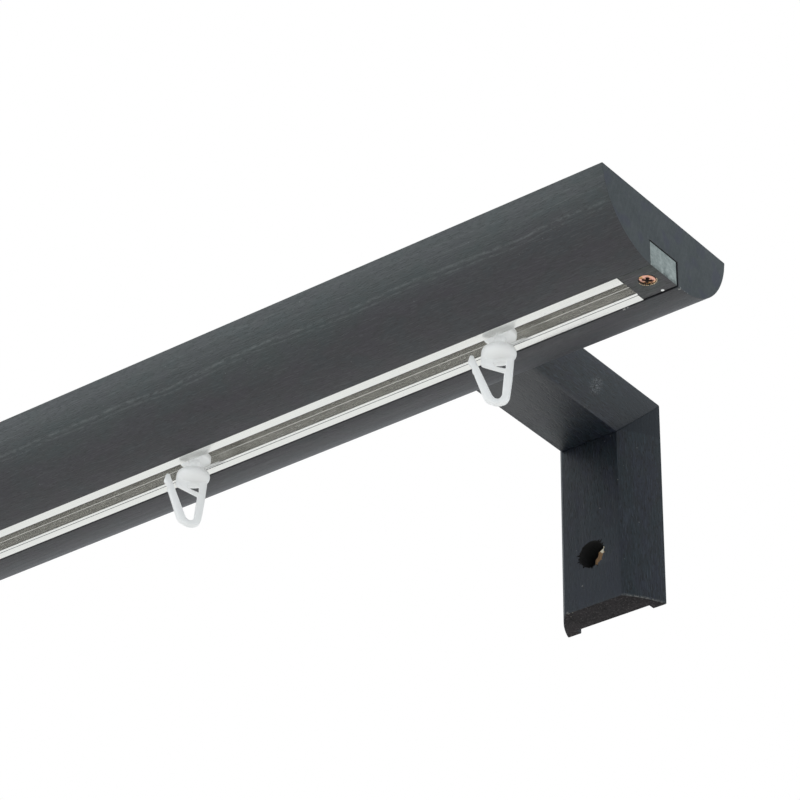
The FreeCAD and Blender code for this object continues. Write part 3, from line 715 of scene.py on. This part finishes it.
def make_steel():
    paint = Paint("zinc_steel")
    haze = paint.clouds(paint.scaled(700, 700, 1800), detail=3)
    colour = paint.mix(haze, (0.45, 0.46, 0.48), (0.68, 0.68, 0.68))
    return paint.finish(colour, paint.band(haze, 0.3, 0.7, 0.25, 0.45), paint.bump(haze, 0.02 * MM), [("Metallic", 1.0)])


def make_dowel_wood():
    paint = Paint("raw_dowel")
    grain = paint.clouds(paint.scaled(1800, 300, 300), detail=4)
    colour = paint.mix(grain, (0.42, 0.26, 0.12), (0.66, 0.47, 0.27))
    return paint.finish(colour, 0.7, paint.bump(grain, 0.05 * MM))


def make_plastic(name, tint, painted_glow=0.0):
    """Milky moulded plastic with a slight surface haze, and an optional painted glow of emission that stands in for
    light passed on through the translucent plastic.
    """
    paint = Paint(name)
    haze = paint.clouds(paint.scaled(160, 160, 160), detail=2)
    fine = paint.clouds(paint.scaled(1900, 1900, 1900), detail=2)
    colour = paint.mix(haze, tuple(0.93 * part for part in tint), tint)
    return paint.finish(
        colour,
        paint.band(fine, 0.3, 0.7, 0.32, 0.46),
        paint.bump(fine, 0.012 * MM, 0.5),
        [
            ("Subsurface Weight", 1.0),
            ("Subsurface Radius", (1.0, 1.0, 1.0)),
            ("Subsurface Scale", 4.0 * MM),
            ("Emission Color", (1.0, 1.0, 0.98, 1.0)),
            ("Emission Strength", painted_glow),
        ],
    )


rail_wood = make_rail_wood()
rail_end = make_rail_end()
block_wood = make_block_wood()
arm_wood = make_bracket_wood("arm_stain", 1, 0.58, 0.4, ARM_CHIPS)
leg_wood = make_bracket_wood("leg_stain", 2, 0.40, 0.52, LEG_CHIPS)
bracket_end = make_bracket_end()
bored_wood = make_bored_wood()
block_end = make_block_end()
aluminium = make_aluminium()
track_groove = make_track_groove()
copper = make_copper()
screw_recess = make_screw_recess()
steel = make_steel()
dowel_wood = make_dowel_wood()
# The gliders get a painted glow, with a darker base colour to make up for it.
glider_plastic = make_plastic("milky_glider", (0.62, 0.64, 0.65), painted_glow=0.26)
hook_plastic = make_plastic("milky_hook", (0.955, 0.955, 0.95))


# Rail and track

def straight_rings(outline, low, high, end_radius, rows):
    """Rings along X with softened ends, for an outline of (y, z) points."""
    rings = []
    ends = rounded_end(end_radius)
    for shrink, setback in ends:
        rings.append([Vector((low + setback, spot.x, spot.y)) for spot in inset(outline, shrink)])
    for row in range(1, rows):
        x = low + (high - low) * row / rows
        rings.append([Vector((x, spot.x, spot.y)) for spot in outline])
    for shrink, setback in reversed(ends):
        rings.append([Vector((high - setback, spot.x, spot.y)) for spot in inset(outline, shrink)])
    return rings


def make_rail():
    middle = (rail_low.y + rail_high.y) / 2
    front, back = middle - RAIL_HALF, middle + RAIL_HALF
    top, bottom = rail_high.z, rail_low.z
    thick = top - bottom
    groove_top = track_high.z
    groove_front = track_low.y - GROOVE_FRONT_FIT
    groove_back = track_high.y + GROOVE_BACK_FIT
    corners = [(front, top, RAIL_ARRIS)]
    corners += flank(front, top, RAIL_FLANK, thick, RAIL_FLANK_LEAN, 1)
    corners += [
        (front + RAIL_FLANK, bottom, 0),
        (groove_front, bottom, GROOVE_EDGE),
        (groove_front, groove_top, 0),
        (groove_back, groove_top, 0),
        (groove_back, bottom, GROOVE_EDGE),
        (back - RAIL_FLANK, bottom, 0),
    ]
    corners += reversed(flank(back, top, RAIL_FLANK, thick, RAIL_FLANK_LEAN, -1))
    corners.append((back, top, RAIL_ARRIS))
    outline = softened(corners)
    rings = straight_rings(outline, rail_low.x, rail_high.x, RAIL_END_ARRIS, 60)
    piece = loft("rail_board", rings, [rail_wood, rail_end], cap_slot=1)
    smooth(piece)
    place_piece(piece, "root", "rail_wood", "rail")


def make_track():
    outer = track_high.y - TRACK_Y
    inner = outer - TRACK_WALL
    low, top = RAIL_BOTTOM, track_high.z
    groove_start = SLOT_HALF + LIP_WIDTH
    outside = [(outer, top, TRACK_EDGE), (outer, low, TRACK_EDGE)]
    inside = [
        (inner, low + TRACK_FLANGE, 0),
        (inner, low + TRACK_LEDGE_HEIGHT, 0),
        (inner - TRACK_LEDGE, low + TRACK_LEDGE_HEIGHT + TRACK_LEDGE, 0),
        (inner - TRACK_LEDGE, top - TRACK_WALL, TRACK_EDGE),
    ]
    back_lip = [
        (groove_start + LIP_GROOVE, low, 0),
        (groove_start + LIP_GROOVE, low + LIP_GROOVE_DEPTH, 0),
        (groove_start, low + LIP_GROOVE_DEPTH, 0),
        (groove_start, low, 0),
        (SLOT_HALF, low + LIP_WIDTH, 0),
        (SLOT_HALF, low + TRACK_FLANGE, TRACK_EDGE),
    ]
    front_lip = [(SLOT_HALF, low, TRACK_EDGE), (SLOT_HALF, low + TRACK_FLANGE, TRACK_EDGE)]
    back = outside + back_lip + inside
    front = outside + front_lip + inside
    corners = [(TRACK_Y + across, up, radius) for across, up, radius in back]
    corners += [(TRACK_Y - across, up, radius) for across, up, radius in reversed(front)]
    outline = softened(corners, steps=3)
    rings = straight_rings(outline, track_low.x, track_high.x, 0.06 * MM, 40)
    piece = loft("track_section", rings, [aluminium, track_groove])
    for face in piece.data.polygons:
        across, up = face.center.y - TRACK_Y, face.center.z - low
        in_groove = groove_start - 0.01 * MM < across < groove_start + LIP_GROOVE + 0.01 * MM
        if in_groove and 0.05 * MM < up < LIP_GROOVE_DEPTH + 0.05 * MM:
            face.material_index = 1
    smooth(piece)
    place_piece(piece, "root", "track_aluminium", "track")


# Brackets

def bracket_outline(groove):
    """(across, depth below the wide face) outline of a bracket half."""
    flank_width = BRACKET_HALF - BRACKET_FACE_HALF
    corners = [(-BRACKET_HALF, 0, BRACKET_ARRIS)]
    corners += flank(-BRACKET_HALF, 0, flank_width, BRACKET_THICK, BRACKET_FLANK_LEAN, 1, steps=14)
    corners += [
        (-BRACKET_FACE_HALF, -BRACKET_THICK, BRACKET_CREASE),
        (BRACKET_FACE_HALF, -BRACKET_THICK, BRACKET_CREASE),
    ]
    corners += reversed(flank(BRACKET_HALF, 0, flank_width, BRACKET_THICK, BRACKET_FLANK_LEAN, -1, steps=14))
    corners.append((BRACKET_HALF, 0, BRACKET_ARRIS))
    if groove:
        corners += [
            (LEG_GROOVE_HALF, 0, 0.2 * MM),
            (LEG_GROOVE_HALF, -LEG_GROOVE_DEPTH, 0),
            (-LEG_GROOVE_HALF, -LEG_GROOVE_DEPTH, 0),
            (-LEG_GROOVE_HALF, 0, 0.2 * MM),
        ]
    return softened(corners)


def round_corner(spot):
    """Pull a point in to the rounded outer corner of the bracket."""
    centre = Vector((leg_high.y - MITRE_ROUND, arm_high.z - MITRE_ROUND))
    reach = Vector((spot.y, spot.z)) - centre
    if reach.x <= 0 or reach.y <= 0 or reach.length <= MITRE_ROUND:
        return spot
    reach = centre + reach.normalized() * MITRE_ROUND
    return Vector((spot.x, reach.x, reach.y))


def bracket_rings(place, length, end_arris, rows):
    """Rings from a plain end at 0 to the mitre. place turns (across, depth, along) into a point."""
    outline = bracket_outline(False)
    rings = []
    for shrink, setback in rounded_end(end_arris):
        rings.append([place(spot.x, -spot.y, setback) for spot in inset(outline, shrink)])
    stops = [row / rows for row in range(1, rows)]
    for share in stops:
        rings.append([place(spot.x, -spot.y, share * (length + spot.y)) for spot in outline])
    for setback in (2, 1.5, 1, 0.6, 0.35):
        back = setback * MM
        rings.append([place(spot.x, -spot.y, length + spot.y - back) for spot in outline])
    for shrink, setback in reversed(rounded_end(MITRE_EDGE, steps=2)):
        rings.append([
            place(spot.x, -spot.y, length + spot.y - setback) for spot in inset(outline, shrink)
        ])
    return rings


def make_arm(word, side):
    front = arm_low.y

    def place(across, depth, along_it):
        return round_corner(Vector((side * BRACKET_X + across, front + along_it, arm_high.z - depth)))

    rings = bracket_rings(place, leg_high.y - front, FOOT_ARRIS, 30)
    piece = loft(word + "_arm", rings, [arm_wood, bracket_end], cap_slot=1)
    smooth(piece)
    place_piece(piece, "root", "bracket_wood", word + "_bracket_arm")


def hole_tool(side):
    """Space of the counterbored screw hole, rough at its mouth, with a raw ledge left on one side."""
    rng = random.Random(41)
    segments = 72
    face = leg_low.y
    steps = [
        (WALL_HEAD_HOLE, -2 * MM, 0.0, 0.0),
        (WALL_HEAD_HOLE, -0.02 * MM, 1.0, 0.0),
        (WALL_HEAD_HOLE, 0.35 * MM, 0.8, 0.35),
        (WALL_HEAD_HOLE, 0.8 * MM, 0.35, 0.85),
        (WALL_HEAD_HOLE, 1.3 * MM, 0.05, 1.0),
        (WALL_HEAD_HOLE, 5.0 * MM, 0.0, 1.0),
        (WALL_HEAD_HOLE, WALL_HEAD_DEPTH, 0.0, 0.6),
        (WALL_HOLE, WALL_HEAD_DEPTH + 0.5 * MM, 0.0, 0.0),
        (WALL_HOLE, BRACKET_THICK + 1 * MM, 0.0, 0.0),
    ]
    tears = [rng.random() ** 1.5 * HOLE_TEAR * rng.choice((0, 0, 1)) for _ in range(segments)]
    rings = []
    for radius, depth, torn, ledge in steps:
        ring = []
        for k in range(segments):
            angle = 2 * math.pi * k / segments
            off = (math.degrees(angle) - HOLE_LEDGE_ANGLE + 180) % 360 - 180
            share = max(0.0, min(1.0, (HOLE_LEDGE_SPAN - abs(off)) / 8))
            reach = radius + torn * tears[k] - ledge * share * HOLE_LEDGE
            ring.append(Vector((
                side * (BRACKET_X + reach * math.cos(angle)), face + depth, reach * math.sin(angle),
            )))
        rings.append(ring)
    return loft("hole", rings, [bored_wood])


def make_leg(word, side):
    def place(across, depth, along_it):
        return round_corner(Vector((side * BRACKET_X + across, leg_high.y - depth, leg_low.z + along_it)))

    rings = bracket_rings(place, arm_high.z - leg_low.z, FOOT_ARRIS, 24)
    piece = loft(word + "_leg", rings, [leg_wood, bracket_end], cap_slot=1)
    groove = box_tool(
        "groove",
        Vector((side * BRACKET_X - LEG_GROOVE_HALF, 0, leg_low.z - 1 * MM)),
        Vector((side * BRACKET_X + LEG_GROOVE_HALF, leg_high.y + 1 * MM, rail_high.z)),
        [leg_wood],
    )
    carve(piece, groove)
    carve(piece, hole_tool(side))
    smooth(piece)
    place_piece(piece, "root", "bracket_wood", word + "_bracket_leg")


# End blocks and screws

def make_block(word, side):
    low, high = corners_of(word + "_end_block")
    high.y -= BLOCK_BACK_FIT
    piece = box_tool(word + "_block", low, high, [block_wood, block_end])
    round_edges(piece, BLOCK_EDGE, 3)
    for face in piece.data.polygons:
        face.material_index = 1 if side * face.normal.x > 0.9 else 0
    wide = SCREW_HEAD + 0.2 * MM
    bore = SCREW_SHANK + 0.05 * MM
    profile = [
        (0, -1 * MM), (wide + 0.1 * MM, -1 * MM), (wide, 0.15 * MM), (wide, SCREW_SUNK + 0.3 * MM),
        (bore, SCREW_SUNK + 0.3 * MM + wide - bore), (bore, 12 * MM), (0, 12 * MM),
    ]
    sink = turned("sink", profile, [block_wood])
    screw_low, screw_high = corners_of(word + "_end_block_screw")
    middle = (screw_low + screw_high) / 2
    sink.location = (middle.x, middle.y - SCREW_NUDGE, RAIL_BOTTOM)
    bpy.context.view_layer.update()
    carve(piece, sink)
    smooth(piece)
    place_piece(piece, "root", "end_block_wood", word + "_end_block")


def cross_tool(radius):
    """Cross recess that narrows with depth, pointing down from the origin."""
    arms = []
    for turn in (0, 90):
        reach, wall, depth = 0.66 * radius, 0.2 * radius, 0.9 * radius
        rings = []
        for height, share in ((0.8 * radius, 1.15), (0, 1.0), (-depth, 0.35)):
            ring = [
                Vector((reach * share, wall, height)), Vector((-reach * share, wall, height)),
                Vector((-reach * share, -wall, height)), Vector((reach * share, -wall, height)),
            ]
            rings.append(ring)
        arm = loft("recess", rings, [screw_recess])
        arm.rotation_euler = (0, 0, math.radians(turn))
        arms.append(arm)
    return arms


def make_block_screw(word, side):
    low, high = corners_of(word + "_end_block_screw")
    length = high.z - low.z
    rim = 0.25 * MM
    dome = [(0, SCREW_DOME)]
    for step in range(1, 9):
        share = step / 8
        dome.append((SCREW_HEAD * share, SCREW_DOME * (1 - share ** 2)))
    profile = dome + [
        (SCREW_HEAD, -rim),
        (SCREW_SHANK, -rim - SCREW_HEAD + SCREW_SHANK),
        (SCREW_SHANK, 2 * SCREW_SHANK - length),
        (0, -length),
    ]
    piece = turned(word + "_screw", profile, [copper])
    for tool in cross_tool(SCREW_HEAD):
        tool.location = (0, 0, SCREW_DOME)
        bpy.context.view_layer.update()
        carve(piece, tool)
    smooth(piece, 40)
    piece.rotation_euler = (math.radians(180 + SCREW_TILT), math.radians(SCREW_TILT), math.radians(38))
    piece.location = (
        (low.x + high.x) / 2, (low.y + high.y) / 2 - SCREW_NUDGE, RAIL_BOTTOM + SCREW_SUNK,
    )
    bpy.context.view_layer.update()
    place_piece(piece, "root", "copper_screw", word + "_end_block_screw")


# Gliders and hooks

def arc_profile(centre, radius, start, end, steps):
    return [
        (centre[0] + radius * math.cos(start + (end - start) * k / steps),
         centre[1] + radius * math.sin(start + (end - start) * k / steps))
        for k in range(steps + 1)
    ]


def glider_mesh(head_z, button_z):
    """Head, neck and ball of a glider, about the Z axis."""
    top = head_z + HEAD_THICK
    rim = HEAD_RADIUS - HEAD_ROUND
    blend = 0.5 * MM
    meeting = math.asin(NECK_RADIUS / BALL_RADIUS)
    profile = [(0, top)]
    profile += arc_profile((rim, top - HEAD_ROUND), HEAD_ROUND, math.pi / 2, 0, 6)
    profile += arc_profile((rim, head_z + HEAD_ROUND), HEAD_ROUND, 0, -math.pi / 2, 6)
    profile += arc_profile((NECK_RADIUS + blend, head_z - blend), blend, math.pi / 2, math.pi, 5)
    ball = arc_profile((0, button_z), BALL_RADIUS, math.pi / 2 - meeting, -math.pi / 2, 16)
    profile += ball[:-1]
    profile.append((0, ball[-1][1]))
    return profile


def make_gliders():
    mesh = None
    for number in range(1, GLIDER_COUNT + 1):
        low, high = corners_of(f"glider_{number}")
        pivot = joints[f"hook_{number}_swivel"]["pos_m"]
        if mesh is None:
            profile = glider_mesh(high.z - HEAD_THICK, pivot[2])
            piece = turned(f"runner_{number}", profile, [glider_plastic])
            smooth(piece, 50)
            mesh = piece.data
        else:
            piece = bpy.data.objects.new(f"runner_{number}", mesh)
            bpy.context.scene.collection.objects.link(piece)
        piece.location = (pivot[0], pivot[1], 0)
        bpy.context.view_layer.update()
        place_piece(piece, f"glider_{number}", "glider_plastic", f"glider_{number}")


def slab(name, outline, thick, bevel):
    """Flat outline in the XZ plane with thickness along Y and softened edges."""
    count = len(outline)
    points = [Vector((spot.x, y, spot.y)) for y in (-thick / 2, thick / 2) for spot in outline]
    faces = [tuple(range(count)), tuple(range(count, 2 * count))]
    faces += [(k, (k + 1) % count, count + (k + 1) % count, count + k) for k in range(count)]
    piece = piece_from(name, points, faces)
    if bevel:
        round_edges(piece, bevel, 3)
    return piece


# Corners of the hook's plate in mm: across from the neck, down from the rail, rounding radius
HOOK_OUTLINE = (
    (-7.9, -4.6, 0.35), (-9.1, -4.55, 0.35), (-9.7, -6.9, 0.45), (-8.42, -8.75, 0.6),
    (-8.42, -10.3, 0.15), (-8.1, -10.55, 0.15), (-5.75, -17.6, 4.0), (-4.45, -21.0, 3.0),
    (-0.9, -22.6, 3.0), (1.9, -21.9, 2.6), (2.8, -19.9, 2.0), (3.55, -14.0, 9.0), (4.2, -6.4, 0.5),
    (4.2, -4.2, 0.5), (-5.75, -4.2, 0.5), (-5.8, -7.85, 0.35), (-5.35, -8.25, 0.5), (1.3, -11.0, 0.2),
    (0.5, -19.4, 1.0), (-0.2, -20.55, 1.0), (-1.5, -20.35, 0.9), (-2.35, -19.2, 1.0),
    (-7.8, -5.3, 0.5),
)
HOOK_WINDOW = ((-2.3, -7.6, 0.1), (1.75, -7.2, 0.1), (1.75, -10.1, 0.1), (-0.9, -9.2, 0.1))


def in_metres(corners):
    return softened([(across * MM, up * MM, radius * MM) for across, up, radius in corners])


def hook_plate():
    """Hook, its barbed tip and the brace up to the button, with the small window above the brace."""
    plate = slab("plate", in_metres(HOOK_OUTLINE), HOOK_PLATE, HOOK_EDGE)
    carve(plate, slab("window", in_metres(HOOK_WINDOW), 3 * HOOK_PLATE, 0))
    return plate


def button_profile(centre_z):
    """Flattened ball from its top to its foot."""
    spots = []
    steps = 32
    power = 2 / BUTTON_FULLNESS
    for step in range(steps + 1):
        angle = math.pi / 2 - math.pi * step / steps
        reach = max(0.0, math.cos(angle)) ** power
        rise = math.copysign(abs(math.sin(angle)) ** power, angle)
        spots.append((BUTTON_RADIUS * reach, centre_z + BUTTON_HALF_HEIGHT * rise))
    spots[0] = (0, spots[0][1])
    spots[-1] = (0, spots[-1][1])
    return spots


def hook_mesh():
    """Button and barbed hook grown together as one moulding, in the plane Y = 0.

    Heights are measured from the underside of the rail."""
    button = turned("button", button_profile(-BUTTON_DROP))
    button.location = (-BUTTON_SHIFT, 0, 0)
    bpy.context.view_layer.update()
    piece = join("hook_form", [hook_plate(), button])
    grown = piece.modifiers.new("grown", "REMESH")
    grown.mode = "VOXEL"
    grown.voxel_size = HOOK_VOXEL
    soft = piece.modifiers.new("soft", "SMOOTH")
    soft.factor = 0.5
    soft.iterations = 5
    apply_modifiers(piece)
    profile = [(0, -BUTTON_DROP - BALL_RADIUS - BALL_FIT)]
    reach = BALL_RADIUS + BALL_FIT
    mouth = NECK_RADIUS + BALL_FIT
    profile += arc_profile((0, -BUTTON_DROP), reach, -math.pi / 2, math.acos(mouth / reach), 16)[1:]
    profile += [(mouth, 0), (0, 0)]
    carve(piece, turned("socket", profile, segments=48))
    mesh = piece.data
    mesh.materials.clear()
    mesh.materials.append(hook_plastic)
    for face in mesh.polygons:
        face.material_index = 0
    smooth(piece, 60)
    bpy.data.objects.remove(piece)
    return mesh


def make_hooks():
    mesh = hook_mesh()
    for number in range(1, GLIDER_COUNT + 1):
        pivot = joints[f"hook_{number}_swivel"]["pos_m"]
        piece = bpy.data.objects.new(f"pleat_hook_{number}", mesh)
        bpy.context.scene.collection.objects.link(piece)
        piece.location = (pivot[0], pivot[1], RAIL_BOTTOM)
        piece.rotation_euler = (0, 0, math.radians(HOOK_TURNS[number - 1]))
        bpy.context.view_layer.update()
        place_piece(piece, f"hook_{number}", "hook_plastic", f"hook_{number}")


# CAD nodes that stay as they are

def repaint(node, material):
    mesh_object = frame["nodes"][node]
    mesh_object.data.materials.clear()
    mesh_object.data.materials.append(material)


# Stage, light and camera

CAMERA_PLACE = (0.86877, -0.79949, -0.54069)
CAMERA_AZIMUTH = math.radians(37.931)
CAMERA_ELEVATION = math.radians(-32.177)
CAMERA_ROLL = math.radians(0.609)
CAMERA_LENS = 153.09
FLOOR_Z = -2.3
WORLD_LIGHT = 0.88
FRONT_LIGHT = 13
BELOW_LIGHT = 1.5


def make_camera():
    data = bpy.data.cameras.new("camera")
    data.lens = CAMERA_LENS
    data.sensor_width = 36
    data.clip_end = 50
    camera = bpy.data.objects.new("camera", data)
    bpy.context.scene.collection.objects.link(camera)
    level = math.cos(CAMERA_ELEVATION)
    ahead = Vector((
        -math.sin(CAMERA_AZIMUTH) * level, math.cos(CAMERA_AZIMUTH) * level, math.sin(-CAMERA_ELEVATION),
    ))
    right = ahead.cross(Vector((0, 0, 1))).normalized()
    up = right.cross(ahead)
    cosine, sine = math.cos(CAMERA_ROLL), math.sin(CAMERA_ROLL)
    across = cosine * right + sine * up
    upwards = cosine * up - sine * right
    turn = Matrix((across, upwards, -ahead)).transposed().to_4x4()
    camera.matrix_world = Matrix.Translation(CAMERA_PLACE) @ turn
    bpy.context.scene.camera = camera


def make_light(name, place, target, size, power):
    data = bpy.data.lights.new(name, "AREA")
    data.shape = "DISK"
    data.size = size
    data.energy = power
    lamp = bpy.data.objects.new(name, data)
    bpy.context.scene.collection.objects.link(lamp)
    lamp.location = place
    lamp.rotation_euler = (Vector(target) - Vector(place)).to_track_quat("-Z", "Y").to_euler()
    lamp.visible_camera = False


def make_stage():
    half = 12.0
    floor = piece_from(
        "floor",
        [Vector((x, y, FLOOR_Z)) for x, y in ((-half, -half), (half, -half), (half, half), (-half, half))],
        [(0, 1, 2, 3)],
    )
    paint = Paint("floor_paint")
    haze = paint.clouds(paint.scaled(2, 2, 2), detail=2)
    colour = paint.mix(haze, (0.90, 0.865, 0.82), (0.94, 0.905, 0.86))
    floor.data.materials.append(paint.finish(colour, 0.9))
    world = bpy.data.worlds.new("studio")
    world.use_nodes = True
    tree = world.node_tree
    background = tree.nodes["Background"]
    seen = tree.nodes.new("ShaderNodeLightPath")
    shade = tree.nodes.new("ShaderNodeMix")
    shade.data_type = "RGBA"
    shade.inputs[6].default_value = (0.91, 0.965, 1.0, 1)
    shade.inputs[7].default_value = (1, 1, 1, 1)
    tree.links.new(seen.outputs["Is Camera Ray"], shade.inputs["Factor"])
    tree.links.new(shade.outputs[2], background.inputs["Color"])
    strength = tree.nodes.new("ShaderNodeMapRange")
    strength.inputs["To Min"].default_value = WORLD_LIGHT
    strength.inputs["To Max"].default_value = 1.0
    tree.links.new(seen.outputs["Is Camera Ray"], strength.inputs["Value"])
    tree.links.new(strength.outputs["Result"], background.inputs["Strength"])
    bpy.context.scene.world = world
    make_light("front", (-1.0, -2.05, 0.85), (0.35, -0.1, 0.0), 2.4, FRONT_LIGHT)
    make_light("below", (-0.9, 1.55, -1.35), (0.35, -0.1, 0.0), 2.0, BELOW_LIGHT)
    bpy.context.scene.view_settings.view_transform = "Standard"


make_rail()
make_track()
for word, side in (("right", 1), ("left", -1)):
    make_block(word, side)
    make_block_screw(word, side)
    make_arm(word, side)
    make_leg(word, side)
    repaint(word + "_bracket_dowels", dowel_wood)
    repaint(word + "_arm_screws", steel)
make_gliders()
make_hooks()
make_camera()
make_stage()
